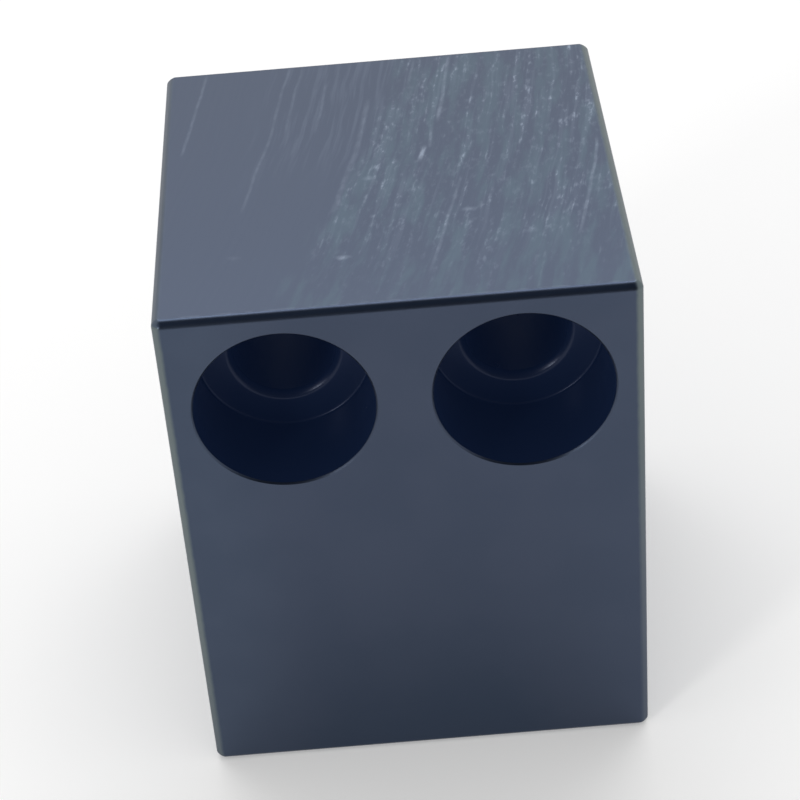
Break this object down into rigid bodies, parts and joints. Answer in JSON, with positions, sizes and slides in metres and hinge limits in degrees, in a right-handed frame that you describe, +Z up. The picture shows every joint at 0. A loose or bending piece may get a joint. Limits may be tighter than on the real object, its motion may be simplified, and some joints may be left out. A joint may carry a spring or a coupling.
{
  "type": "machined mounting block",
  "caption": "Small rectangular metal block with side-by-side counterbored through holes for cap screws, chamfered edges and plain machined ends.",
  "frame": {"origin": "centre of the bottom face", "axes": "+X across the width, +Y from the front face with the counterbores to the back face, +Z up along the bar"},
  "size_m": [0.025, 0.0264, 0.0305],
  "materials": {
    "block": "dark blue-grey anodised, satin, with cutter marks and scratches on the top end"
  },
  "bodies": {
    "root": {"mounting_block": "block"}
  },
  "joints": []
}
